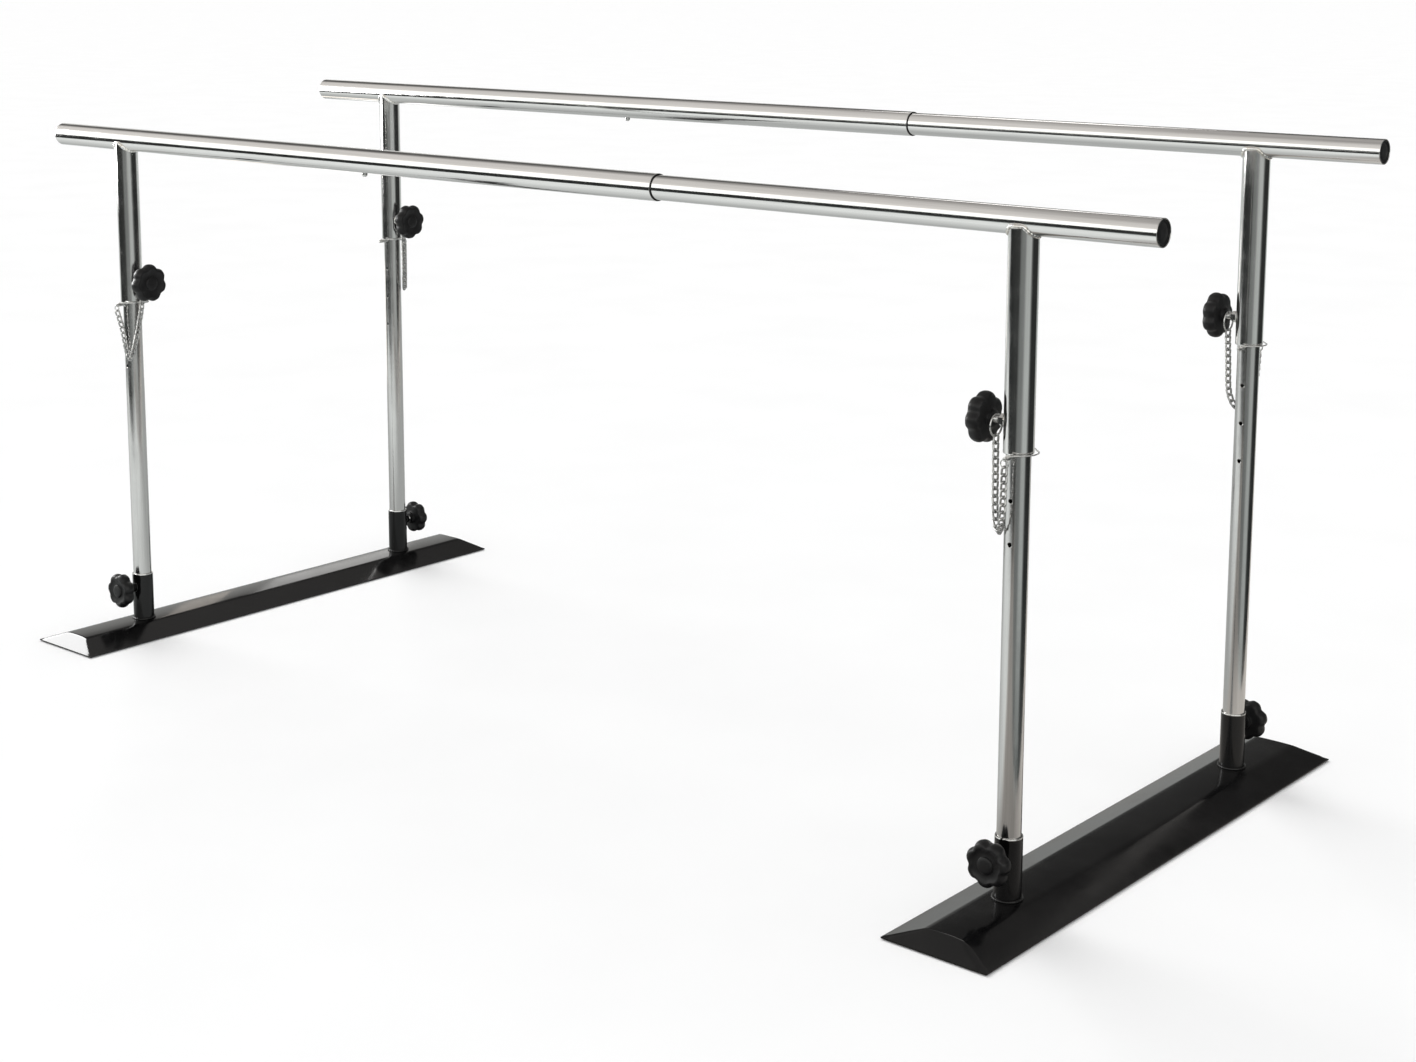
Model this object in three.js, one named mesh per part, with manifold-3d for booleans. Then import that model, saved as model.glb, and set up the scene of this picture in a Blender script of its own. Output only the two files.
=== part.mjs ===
// Height-adjustable parallel bars for walking practice: two long handrails, each a pair of telescoping
// tubes, carried on four telescoping posts that stand in sockets on two low floor bases.
// Millimetres, +Z up. X runs along the rails, -Y is the front bar, +Y the rear bar.
// The origin lies on the floor at the middle of the four posts.
import * as THREE from "three";
import { ConvexGeometry } from "three/addons/geometries/ConvexGeometry.js";
import { mergeVertices } from "three/addons/utils/BufferGeometryUtils.js";
import Module from "manifold-3d";

const wasm = await Module();
wasm.setup();

// Overall layout
const POST_X = 830; // post axes from the middle, along the rails
const POST_Y = 275; // post axes from the middle, across the rails
const RAIL_END_X = 1000; // both ends of each rail
const RAIL_MOUTH_X = 295; // open end of the outer rail tube
const RAIL_Z = { front: 800, rear: 850 }; // rail axes: the rear bar is set one hole higher
const GAP = 0.3; // between pieces that touch
const CLEAR = 5; // cutters run this far past what they cut

// Tubes
const TUBE_SIDES = 20;
const RAIL_SIDES = 28;
const SMALL_SIDES = 16;
const FINE_SIDES = 12;
const OUTER_R = 17.5; // 35 mm handrail tube, also the upper posts
const OUTER_RAIL_BORE_R = 16.3;
const INNER_RAIL_R = 15.9;
const INNER_RAIL_BORE_R = 14.7;
const INNER_RAIL_START_X = -297;
const UPPER_POST_BORE_R = 14.7;
const POST_TOP_BELOW_RAIL = 5; // highest points of the coped end, below the rail's axis
const LOWER_POST_R = 14.3;
const LOWER_POST_BORE_R = 12.7;
const LOWER_POST_TOP = 676;
const LOWEST_HOLE_Z = 438;
const HOLE_PITCH = 50;
const HOLE_COUNT = 4;
const PIN_HOLE_R = 2.75;

// Floor bases and sockets
const BASE_TOP = 19;
const BASE_LIP = 1; // the steel lip stays this far off the floor
const BASE_WALL = 3;
const BASE_FOOT = { halfWidth: 70, halfLength: 425 };
const BASE_CROWN = { halfWidth: 25, halfLength: 402 };
const BASE_EDGE = 2; // upright rim of the lip
const BASE_INSET = { foot: 4, crownWidth: 1, crownLength: 2 }; // the hollow, inside the outer form
const STRIP = { width: 40, length: 740 };
const SOCKET_R = 16.3;
const SOCKET_BORE_R = 14.7;
const SOCKET_TOP = 95;
const SOCKET_SLIT = { width: 2.6, depth: 15 };
const SOCKET_WELD = { radius: 19, height: 3 };

// Clamp screws and star knobs
const SCREW_R = 4;
const SCREW_BORE_R = 4.35;
const SCREW_LENGTH = 34;
const SCREW_CHAMFER = 1;
const SCREW_CLEARANCE = 0.4; // screw tip to the post that it clamps
const NUT = { radius: 7.5, reach: 7, rooting: 1.2 }; // rooting: depth to which the nut sinks in the tube
const KNOB_LOBES = 7;
const UPPER_KNOB_R = 28;
const LOWER_KNOB_R = 26;
const KNOB_LOBE = 2;
const KNOB_THICKNESS = 20;
const KNOB_BEVEL = 5;
const KNOB_COLLAR = { radius: 10, length: 4, overlap: 2 };
const KNOB_BORE_MOUTH = 10; // the bore starts this far behind the knob, clear of the collar
const UPPER_KNOB_FACE = 36; // back of the knob from the post axis
const LOWER_KNOB_FACE = 31;
const UPPER_KNOB_RISE = 34; // above the lower end of the upper post
const LOWER_KNOB_Z = 73;

// Lock pin, spring bail, ring and chain
const PIN_R = 2.5;
const PIN_HEAD_CHAMFER = 0.5;
const PIN_NOSE = { length: 1.5, taper: 1.2 };
const PIN_FRONT = 30;
const PIN_BACK = 31;
const BAIL_WIRE_R = 0.8;
const BAIL_R = 22.5;
const BAIL_PIVOT = 27; // in front of the post axis
const BAIL_RISE = 3.7; // wire above the pin's axis
const BAIL_TAIL = 3.4; // wire below the pin's axis
const BAIL_ARC = { from: -50, to: 60, step: 22 }; // degrees round the post
const BAIL_TURN = { below: 1.3, lean: 0.2, reach: 1.6 }; // where the wire bends over from upright
const BAIL_SHOULDER = { reach: 6, back: 0.8 }; // where the arc round the post begins
const BAIL_NOSE = { reach: 5, back: 5 }; // where the wire meets the pin's nose
const BAIL_TIP = { reach: -3.5, back: 3.5 }; // where it ends, beyond the pin
const BAIL_HOLE_R = 1.15;
const BAIL_HOLE_SIDES = 8;
const BAIL_SIDES = 5;
const BAIL_STEPS = 26;
const RING_R = 12.4; // centre line
const RING_WIRE_R = 1.1;
const RING_FROM_POST = 30.2;
const RING_SIDES = 5;
const RING_STEPS = 18;
const CHAIN_R = 3.2;
const CHAIN_DROP = 88; // lowest point below the lock pin's axis
const CHAIN_PLAY = 0.8; // between the chain and the pieces that it hangs on
const CHAIN_SIDES = 8;
const CHAIN_STEPS = 20;
const CHAIN_ARM = 16; // height of the V's rounded foot
const CHAIN_RING_SIDE = { upper: 0.14, lower: 0.4, below: 20 }; // shares of the way, depth below the pin
const CHAIN_FOOT = 0.53; // share of the way at which the V is lowest
const CHAIN_PIN_SIDE = { lower: 0.66, upper: 0.8, below: 40 };

// Rail ends and snap buttons
const PLUG = { length: 22, face: 3, wall: 2, recess: 1, chamfer: 1 };
const BUTTON_X = -260;
const BUTTON_STEP = 250;
const BUTTON_HOLES = [-2, -1, 0, 1]; // lock holes in the outer rail, counted from the stored setting
const BUTTON_R = 4;
const BUTTON_HOLE_R = 4.4;
const BUTTON_OUT = 5.2; // dome below the outer rail
const BUTTON_DOME = { height: 3, flatShare: 0.6, firstStep: 0.7 };
const BUTTON_HEAD = { radius: 5.2, top: -11.4, bottom: -13.4 };
const LEAF = { thickness: 0.8, width: 8, length: 46, top: 12.9, pad: 6, fold: 3 };

const LOWER_END = (side) => pinZ(side) + PIN_R + GAP;
const UPPER_KNOB_Z = (side) => LOWER_END(side) + UPPER_KNOB_RISE;

function pinZ(side) {
  return LOWEST_HOLE_Z + HOLE_PITCH * (side === "front" ? 2 : 3);
}

// ---- Solids -------------------------------------------------------------------------------------

// A closed three.js geometry as a manifold solid, turned the right way out.
function solid(geometry) {
  const bare = geometry.clone();
  bare.deleteAttribute("normal");
  bare.deleteAttribute("uv");
  const merged = mergeVertices(bare, 1e-4);
  const vertProperties = new Float32Array(merged.attributes.position.array);
  const triVerts = new Uint32Array(merged.index.array);
  const made = new wasm.Manifold(new wasm.Mesh({ numProp: 3, vertProperties, triVerts }));
  if (made.volume() > 0) return made;
  for (let i = 0; i < triVerts.length; i += 3) {
    [triVerts[i + 1], triVerts[i + 2]] = [triVerts[i + 2], triVerts[i + 1]];
  }
  return new wasm.Manifold(new wasm.Mesh({ numProp: 3, vertProperties, triVerts }));
}

function named(name, body, material) {
  const { numProp, vertProperties, triVerts } = body.getMesh();
  const positions = [];
  for (let i = 0; i < vertProperties.length; i += numProp) {
    positions.push(vertProperties[i], vertProperties[i + 1], vertProperties[i + 2]);
  }
  const geometry = new THREE.BufferGeometry();
  geometry.setAttribute("position", new THREE.Float32BufferAttribute(positions, 3));
  geometry.setIndex(new THREE.BufferAttribute(new Uint32Array(triVerts), 1));
  geometry.computeVertexNormals();
  const mesh = new THREE.Mesh(geometry, new THREE.MeshStandardMaterial(material));
  mesh.name = name;
  return mesh;
}

// A turned solid about +Z: the profile is a list of [radius, height].
function turned(profile, sides = TUBE_SIDES) {
  const points = profile.map(([r, z]) => new THREE.Vector2(r, z));
  return solid(new THREE.LatheGeometry(points, sides).rotateX(Math.PI / 2));
}

function tube(outer, bore, from, to, sides = TUBE_SIDES) {
  return turned([[bore, from], [outer, from], [outer, to], [bore, to], [bore, from]], sides);
}

function rod(radius, from, to, sides = TUBE_SIDES) {
  return turned([[0, from], [radius, from], [radius, to], [0, to]], sides);
}

// Turns a solid made along +Z so that it points along a horizontal direction.
const along = { "+X": [0, 90, 0], "-X": [0, -90, 0], "+Y": [-90, 0, 0], "-Y": [90, 0, 0] };

function box(x, y, z, at) {
  return solid(new THREE.BoxGeometry(x, y, z).translate(...at));
}

function wire(points, radius, sides, steps) {
  const path = new THREE.CatmullRomCurve3(points, false, "centripetal");
  return swept(path, radius, sides, steps);
}

function swept(path, radius, sides, steps) {
  const section = new THREE.Shape();
  for (let i = 0; i < sides; i += 1) {
    const a = (2 * Math.PI * i) / sides;
    const spot = [radius * Math.cos(a), radius * Math.sin(a)];
    if (i === 0) section.moveTo(...spot);
    else section.lineTo(...spot);
  }
  section.closePath();
  return solid(new THREE.ExtrudeGeometry(section, { steps, extrudePath: path, bevelEnabled: false }));
}

// ---- Floor base ---------------------------------------------------------------------------------

function hull(foot, footZ, edge, crown, crownZ) {
  const points = [];
  for (const x of [-1, 1]) {
    for (const y of [-1, 1]) {
      for (const z of [footZ, footZ + edge]) {
        points.push(new THREE.Vector3(x * foot.halfWidth, y * foot.halfLength, z));
      }
      points.push(new THREE.Vector3(x * crown.halfWidth, y * crown.halfLength, crownZ));
    }
  }
  return solid(new ConvexGeometry(points));
}

// A long, low pressed-steel shell with hipped ends, open underneath.
function baseShell() {
  const { foot, crownWidth, crownLength } = BASE_INSET;
  const thin = { halfWidth: BASE_FOOT.halfWidth - foot, halfLength: BASE_FOOT.halfLength - foot };
  const innerCrown = {
    halfWidth: BASE_CROWN.halfWidth - crownWidth,
    halfLength: BASE_CROWN.halfLength - crownLength,
  };
  const outside = hull(BASE_FOOT, BASE_LIP, BASE_EDGE, BASE_CROWN, BASE_TOP);
  return outside.subtract(hull(thin, 0, BASE_LIP, innerCrown, BASE_TOP - BASE_WALL));
}

// The rubber strip glued under the crown; it carries the base on the floor.
function footStrip() {
  const height = BASE_TOP - BASE_WALL - GAP;
  return box(STRIP.width, STRIP.length, height, [0, 0, height / 2]);
}

// A short upright tube welded to the base, with a slit and a clamp nut on its outward side.
function socket(outward) {
  const foot = BASE_TOP + GAP;
  const body = turned([
    [SOCKET_BORE_R, foot],
    [SOCKET_WELD.radius, foot],
    [SOCKET_R, foot + SOCKET_WELD.height],
    [SOCKET_R, SOCKET_TOP],
    [SOCKET_BORE_R, SOCKET_TOP],
    [SOCKET_BORE_R, foot],
  ]);
  const slitAt = [0, outward * SOCKET_R, SOCKET_TOP - (SOCKET_SLIT.depth - CLEAR) / 2];
  const slit = box(SOCKET_SLIT.width, SOCKET_R, SOCKET_SLIT.depth + CLEAR, slitAt);
  return withNut(body, SOCKET_R, outward > 0 ? "+Y" : "-Y", LOWER_KNOB_Z).subtract(slit);
}

// Adds a round clamp nut to a tube's side and drills it and the tube's wall for the screw.
function withNut(body, tubeR, direction, z) {
  const nut = rod(NUT.radius, tubeR - NUT.rooting, tubeR + NUT.reach, SMALL_SIDES);
  const drill = rod(SCREW_BORE_R, CLEAR, tubeR + NUT.reach + CLEAR, FINE_SIDES);
  const place = (s) => s.rotate(along[direction]).translate([0, 0, z]);
  return body.add(place(nut)).subtract(place(drill));
}

// ---- Posts --------------------------------------------------------------------------------------

// The lower post: a plain tube with a row of cross holes for the lock pin.
function lowerPost() {
  let post = tube(LOWER_POST_R, LOWER_POST_BORE_R, BASE_TOP + GAP, LOWER_POST_TOP);
  for (let i = 0; i < HOLE_COUNT; i += 1) {
    const reach = LOWER_POST_R + CLEAR;
    const drill = rod(PIN_HOLE_R, -reach, reach, FINE_SIDES).rotate(along["+Y"]);
    post = post.subtract(drill.translate([0, 0, LOWEST_HOLE_Z + i * HOLE_PITCH]));
  }
  return post;
}

// The upper post slides over the lower one and is coped to fit under the rail that it is welded to.
function upperPost(side, railR, inward) {
  const railZ = RAIL_Z[side];
  const post = tube(OUTER_R, UPPER_POST_BORE_R, LOWER_END(side), railZ - POST_TOP_BELOW_RAIL);
  const reach = 2 * OUTER_R + CLEAR;
  const cope = rod(railR + GAP, -reach, reach, RAIL_SIDES).rotate(along["+X"]).translate([0, 0, railZ]);
  return withNut(post, OUTER_R, inward > 0 ? "+X" : "-X", UPPER_KNOB_Z(side)).subtract(cope);
}

// ---- Rails --------------------------------------------------------------------------------------

function railTube(radius, bore, from, to, holes) {
  let rail = tube(radius, bore, from, to, RAIL_SIDES).rotate(along["+X"]);
  for (const x of holes) {
    const drill = rod(BUTTON_HOLE_R, -radius - CLEAR, -bore + CLEAR, FINE_SIDES);
    rail = rail.subtract(drill.translate([x, 0, 0]));
  }
  return rail;
}

const outerRail = () =>
  railTube(
    OUTER_R,
    OUTER_RAIL_BORE_R,
    -RAIL_END_X,
    RAIL_MOUTH_X,
    BUTTON_HOLES.map((k) => BUTTON_X + k * BUTTON_STEP),
  );

const innerRail = () =>
  railTube(INNER_RAIL_R, INNER_RAIL_BORE_R, INNER_RAIL_START_X, RAIL_END_X, [BUTTON_X]);

// A push-in cap: a closed face just inside the tube's end and a skirt behind it.
function railPlug(bore, direction) {
  const r = bore - GAP;
  const face = RAIL_END_X - PLUG.recess;
  const cup = turned([
    [0, face - PLUG.face],
    [r - PLUG.wall, face - PLUG.face],
    [r - PLUG.wall, face - PLUG.length],
    [r, face - PLUG.length],
    [r, face - PLUG.chamfer],
    [r - PLUG.chamfer, face],
    [0, face],
  ]);
  return cup.rotate(along[direction]);
}

// The snap button: a domed plunger with a head that stays inside the inner rail.
function snapButton() {
  const tip = -OUTER_R - BUTTON_OUT;
  return turned(
    [
      [0, tip],
      [BUTTON_R * BUTTON_DOME.flatShare, tip + BUTTON_DOME.firstStep],
      [BUTTON_R, tip + BUTTON_DOME.height],
      [BUTTON_R, BUTTON_HEAD.bottom],
      [BUTTON_HEAD.radius, BUTTON_HEAD.bottom],
      [BUTTON_HEAD.radius, BUTTON_HEAD.top],
      [0, BUTTON_HEAD.top],
    ],
    FINE_SIDES,
  ).translate([BUTTON_X, 0, 0]);
}

// The folded leaf spring that pushes the button out: its upper leg bears on the rail's inside.
function snapSpring() {
  const { thickness: t, pad, fold } = LEAF;
  const low = BUTTON_HEAD.top + GAP;
  const high = LEAF.top;
  const middle = (low + high) / 2;
  const outline = new THREE.Shape();
  outline.moveTo(-pad, low);
  outline.lineTo(pad, low);
  outline.lineTo(LEAF.length, middle - t);
  outline.quadraticCurveTo(LEAF.length + fold, middle, LEAF.length, middle + t);
  outline.lineTo(pad, high);
  outline.lineTo(-pad, high);
  outline.lineTo(-pad, high - t);
  outline.lineTo(pad, high - t);
  outline.lineTo(LEAF.length - fold, middle);
  outline.lineTo(pad, low + t);
  outline.lineTo(-pad, low + t);
  outline.closePath();
  const settings = { depth: LEAF.width, bevelEnabled: false, curveSegments: 4 };
  const leaf = new THREE.ExtrudeGeometry(outline, settings);
  return solid(leaf.translate(0, 0, -LEAF.width / 2).rotateX(Math.PI / 2).translate(BUTTON_X, 0, 0));
}

// ---- Clamp screws and knobs ---------------------------------------------------------------------

// Screw and knob are made along +Z from the axis of the post that they clamp.
function clampScrew(clampedR) {
  const tip = clampedR + SCREW_CLEARANCE;
  const profile = [
    [0, tip],
    [SCREW_R - SCREW_CHAMFER, tip],
    [SCREW_R, tip + SCREW_CHAMFER],
    [SCREW_R, tip + SCREW_LENGTH],
    [0, tip + SCREW_LENGTH],
  ];
  return turned(profile, FINE_SIDES);
}

function starKnob(face, radius) {
  const rim = new THREE.Shape();
  const count = KNOB_LOBES * 4;
  for (let i = 0; i < count; i += 1) {
    const a = (2 * Math.PI * i) / count;
    const r = radius - KNOB_BEVEL + KNOB_LOBE * Math.cos(KNOB_LOBES * a);
    const spot = [r * Math.cos(a), r * Math.sin(a)];
    if (i === 0) rim.moveTo(...spot);
    else rim.lineTo(...spot);
  }
  rim.closePath();
  const settings = {
    depth: KNOB_THICKNESS - 2 * KNOB_BEVEL,
    bevelSize: KNOB_BEVEL,
    bevelThickness: KNOB_BEVEL,
    bevelSegments: 2,
  };
  const head = solid(new THREE.ExtrudeGeometry(rim, settings).translate(0, 0, face + KNOB_BEVEL));
  const collarEnd = face + KNOB_COLLAR.overlap;
  const collar = rod(KNOB_COLLAR.radius, face - KNOB_COLLAR.length, collarEnd, SMALL_SIDES);
  const seat = LOWER_POST_R + SCREW_CLEARANCE + SCREW_LENGTH + GAP;
  return head.add(collar).subtract(rod(SCREW_BORE_R, face - KNOB_BORE_MOUTH, seat, FINE_SIDES));
}

// ---- Lock pin and its bail ----------------------------------------------------------------------

// Pin, bail and chain are made for the front bar, whose pins go in from the front; the rear bar's
// are their mirror images and go in from the rear.
const outwardSide = (body, outward) => (outward < 0 ? body : body.mirror([0, 1, 0]));

function lockPin() {
  const pin = turned([
    [0, -PIN_FRONT],
    [PIN_R - PIN_HEAD_CHAMFER, -PIN_FRONT],
    [PIN_R, PIN_HEAD_CHAMFER - PIN_FRONT],
    [PIN_R, PIN_BACK - PIN_NOSE.length],
    [PIN_R - PIN_NOSE.taper, PIN_BACK],
    [0, PIN_BACK],
  ], FINE_SIDES);
  const bailHole = rod(BAIL_HOLE_R, -CLEAR, CLEAR, BAIL_HOLE_SIDES).translate([0, -BAIL_PIVOT, 0]);
  return pin.rotate(along["+Y"]).subtract(bailHole);
}

// A spring wire that turns in the pin's front hole, wraps half round the post and rests on the tail.
function bail() {
  const at = (x, y, z = BAIL_RISE) => new THREE.Vector3(x, y, z);
  const points = [
    at(0, -BAIL_PIVOT, -BAIL_TAIL),
    at(0, -BAIL_PIVOT, 0),
    at(BAIL_TURN.lean, -BAIL_PIVOT, BAIL_RISE - BAIL_TURN.below),
    at(BAIL_TURN.reach, -BAIL_PIVOT),
    at(BAIL_SHOULDER.reach, BAIL_SHOULDER.back - BAIL_PIVOT),
  ];
  for (let degrees = BAIL_ARC.from; degrees <= BAIL_ARC.to; degrees += BAIL_ARC.step) {
    const a = THREE.MathUtils.degToRad(degrees);
    points.push(at(BAIL_R * Math.cos(a), BAIL_R * Math.sin(a)));
  }
  points.push(at(BAIL_NOSE.reach, PIN_BACK - BAIL_NOSE.back));
  points.push(at(BAIL_TIP.reach, PIN_BACK - BAIL_TIP.back));
  return wire(points, BAIL_WIRE_R, BAIL_SIDES, BAIL_STEPS);
}

// ---- Ring and chain -----------------------------------------------------------------------------

const ringDrop = RING_R - RING_WIRE_R - SCREW_R - GAP;

function ring() {
  const torus = new THREE.TorusGeometry(RING_R, RING_WIRE_R, RING_SIDES, RING_STEPS);
  return solid(torus.rotateY(Math.PI / 2).translate(0, 0, -ringDrop));
}

// The chain hangs in a V, in the upright plane through the ring and the outer end of the lock pin.
function chain(side, inward) {
  const pin = pinZ(side);
  const low = pin - CHAIN_DROP;
  const ringEnd = UPPER_KNOB_Z(side) - ringDrop - RING_R - RING_WIRE_R - CHAIN_R - CHAIN_PLAY;
  const pinEnd = -PIN_FRONT - CHAIN_R - CHAIN_PLAY;
  const hung = (share, z) => {
    const x = inward * RING_FROM_POST * (1 - share);
    return new THREE.Vector3(x, pinEnd * share, z);
  };
  const points = [
    hung(0, ringEnd),
    hung(CHAIN_RING_SIDE.upper, pin - CHAIN_RING_SIDE.below),
    hung(CHAIN_RING_SIDE.lower, low + CHAIN_ARM),
    hung(CHAIN_FOOT, low),
    hung(CHAIN_PIN_SIDE.lower, low + CHAIN_ARM),
    hung(CHAIN_PIN_SIDE.upper, pin - CHAIN_PIN_SIDE.below),
    hung(1, pin),
  ];
  return wire(points, CHAIN_R, CHAIN_SIDES, CHAIN_STEPS);
}

// ---- Materials ----------------------------------------------------------------------------------

const chrome = { color: 0xc9cccb, roughness: 0.12, metalness: 1 };
const zinc = { color: 0xb9bcba, roughness: 0.3, metalness: 1 };
const blackPaint = { color: 0x0b0b0c, roughness: 0.15, metalness: 0.1 };
const blackPlastic = { color: 0x121214, roughness: 0.45, metalness: 0 };
const rubber = { color: 0x1a1a1a, roughness: 0.85, metalness: 0 };

// ---- Assembly -----------------------------------------------------------------------------------

const bars = new THREE.Group();

function place(mesh, x, y, z = 0) {
  mesh.position.set(x, y, z);
  bars.add(mesh);
}

for (const end of ["left", "right"]) {
  const x = end === "left" ? -POST_X : POST_X;
  place(named(`base_${end}`, baseShell(), blackPaint), x, 0);
  place(named(`foot_strip_${end}`, footStrip(), rubber), x, 0);
}

for (const side of ["front", "rear"]) {
  const y = side === "front" ? -POST_Y : POST_Y;
  const z = RAIL_Z[side];
  place(named(`outer_rail_${side}`, outerRail(), chrome), 0, y, z);
  place(named(`inner_rail_${side}`, innerRail(), chrome), 0, y, z);
  place(named(`rail_plug_${side}_left`, railPlug(OUTER_RAIL_BORE_R, "-X"), blackPlastic), 0, y, z);
  place(named(`rail_plug_${side}_right`, railPlug(INNER_RAIL_BORE_R, "+X"), blackPlastic), 0, y, z);
  place(named(`snap_button_${side}`, snapButton(), zinc), 0, y, z);
  place(named(`snap_spring_${side}`, snapSpring(), zinc), 0, y, z);
}

for (const side of ["front", "rear"]) {
  for (const end of ["left", "right"]) {
    const spot = `${side}_${end}`;
    const x = end === "left" ? -POST_X : POST_X;
    const y = side === "front" ? -POST_Y : POST_Y;
    const inward = end === "left" ? 1 : -1;
    const outward = side === "front" ? -1 : 1;
    const railR = end === "left" ? OUTER_R : INNER_RAIL_R;
    const inwardTurn = along[inward > 0 ? "+X" : "-X"];
    const outwardTurn = along[outward > 0 ? "+Y" : "-Y"];
    const screw = clampScrew(LOWER_POST_R);
    const upperKnob = starKnob(UPPER_KNOB_FACE, UPPER_KNOB_R).rotate(inwardTurn);
    const lowerKnob = starKnob(LOWER_KNOB_FACE, LOWER_KNOB_R).rotate(outwardTurn);
    const knobZ = UPPER_KNOB_Z(side);
    place(named(`socket_${spot}`, socket(outward), blackPaint), x, y);
    place(named(`lower_post_${spot}`, lowerPost(), chrome), x, y);
    place(named(`upper_post_${spot}`, upperPost(side, railR, inward), chrome), x, y);
    place(named(`upper_screw_${spot}`, screw.rotate(inwardTurn), zinc), x, y, knobZ);
    place(named(`upper_knob_${spot}`, upperKnob, blackPlastic), x, y, knobZ);
    place(named(`lower_screw_${spot}`, screw.rotate(outwardTurn), zinc), x, y, LOWER_KNOB_Z);
    place(named(`lower_knob_${spot}`, lowerKnob, blackPlastic), x, y, LOWER_KNOB_Z);
    place(named(`lock_pin_${spot}`, outwardSide(lockPin(), outward), zinc), x, y, pinZ(side));
    place(named(`bail_${spot}`, outwardSide(bail(), outward), zinc), x, y, pinZ(side));
    place(named(`ring_${spot}`, ring(), zinc), x + inward * RING_FROM_POST, y, knobZ);
    place(named(`chain_${spot}`, outwardSide(chain(side, inward), outward), zinc), x, y);
  }
}

export default bars;
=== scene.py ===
import math
import random

import bmesh
import bpy
from mathutils import Matrix, Vector


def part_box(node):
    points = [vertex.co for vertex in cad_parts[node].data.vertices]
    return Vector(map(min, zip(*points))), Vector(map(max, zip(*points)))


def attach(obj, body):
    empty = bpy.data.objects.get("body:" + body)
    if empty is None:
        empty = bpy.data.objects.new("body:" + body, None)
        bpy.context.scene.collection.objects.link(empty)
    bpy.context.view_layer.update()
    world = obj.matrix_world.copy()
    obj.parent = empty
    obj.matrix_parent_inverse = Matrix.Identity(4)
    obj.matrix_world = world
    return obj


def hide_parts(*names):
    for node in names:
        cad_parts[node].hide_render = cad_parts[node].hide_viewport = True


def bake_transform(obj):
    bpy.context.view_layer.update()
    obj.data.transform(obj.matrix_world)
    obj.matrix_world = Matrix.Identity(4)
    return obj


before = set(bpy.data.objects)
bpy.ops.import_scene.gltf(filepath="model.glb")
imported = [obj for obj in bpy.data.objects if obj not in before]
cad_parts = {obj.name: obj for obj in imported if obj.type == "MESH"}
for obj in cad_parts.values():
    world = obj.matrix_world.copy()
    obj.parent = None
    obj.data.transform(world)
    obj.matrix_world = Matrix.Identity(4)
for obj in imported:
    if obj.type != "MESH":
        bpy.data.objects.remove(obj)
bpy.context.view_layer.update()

MM = 0.001
TAU = 2 * math.pi
SIDES = ("front", "rear")
ENDS = ("left", "right")
SPOTS = [(side, end) for side in SIDES for end in ENDS]


# ---- Sizes of the object, in metres ----

def centre(node):
    low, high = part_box(node)
    return (low + high) / 2


OUTER_R = 17.5 * MM
OUTER_RAIL_BORE_R = 16.3 * MM
INNER_RAIL_R = 15.9 * MM
INNER_RAIL_BORE_R = 14.7 * MM
UPPER_POST_BORE_R = 14.7 * MM
LOWER_POST_R = 14.3 * MM
LOWER_POST_BORE_R = 12.7 * MM
LOWEST_HOLE_Z = 438 * MM
HOLE_PITCH = 50 * MM
PIN_HOLE_R = 2.75 * MM
SOCKET_R = 16.3 * MM
SOCKET_BORE_R = 14.7 * MM
SLIT = {"half": 1.3 * MM, "depth": 15 * MM}
SCREW_R = 4 * MM
SCREW_GAP = 0.4 * MM
SCREW_LENGTH = 34 * MM
NUT_R = 7.5 * MM
NUT_REACH = 7 * MM
NUT_SINK = 0.9 * MM  # the nut's foot lies this far inside the tube's outline
THREAD = {"pitch": 1.25 * MM, "depth": 0.55 * MM}
BEAD_R = {"nut": 1.0 * MM, "socket": 1.9 * MM, "rail": 2.3 * MM}
KNOB_RIM_R = {"upper": 30 * MM, "lower": 28 * MM}
KNOB_NOTCH = 3.4 * MM
KNOB_LOBES = 7
KNOB_FACE = {"upper": 36 * MM, "lower": 31 * MM}
UPPER_KNOB_RISE = 34 * MM
LOWER_KNOB_Z = 73 * MM
TUBE_SIDES = 96
PIN_R = 2.5 * MM
PIN_FRONT = 30 * MM
PIN_BACK = 31 * MM
BAIL_R = 22.5 * MM
BAIL_PIVOT = 27 * MM
BAIL_RISE = 3.7 * MM
RING_R = 12.4 * MM
RING_WIRE_R = 1.1 * MM
RING_FROM_POST = 30.2 * MM
GAP = 0.3 * MM
CHAIN_DROP = 88 * MM
LINK = {"pitch": 8.6 * MM, "wire": 1.3 * MM, "bend": 3.0 * MM, "straight": 2.6 * MM}
EYE = {"radius": 5 * MM, "wire": 0.8 * MM, "from_post": 28.7 * MM}
BUTTON_X = -260 * MM
BUTTON_STEP = 250 * MM
BUTTON_R = 4 * MM
LOCK_HOLE_R = 4.4 * MM
HOLE_LIP = {"width": 0.35 * MM, "outside": 0.25 * MM, "inside": 0.15 * MM}
BASE = {"crown": 25 * MM, "hip": 23 * MM, "arch": 0.8 * MM, "lip": 2 * MM, "wall": 3 * MM,
        "soft": 1.5 * MM}

RAIL_Z = {side: centre("outer_rail_" + side).z for side in SIDES}
RAIL_Y = {side: centre("outer_rail_" + side).y for side in SIDES}
POST_X = {end: centre("base_" + end).x for end in ENDS}
OUTWARD = {"front": -1, "rear": 1}
INWARD = {"left": 1, "right": -1}


def post(side, end):
    return Vector((POST_X[end], RAIL_Y[side], 0))


def pin_z(side):
    return centre(f"lock_pin_{side}_left").z


def lower_end(side):
    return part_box(f"upper_post_{side}_left")[0].z


def knob_z(side):
    return lower_end(side) + UPPER_KNOB_RISE


# ---- Camera ----

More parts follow.
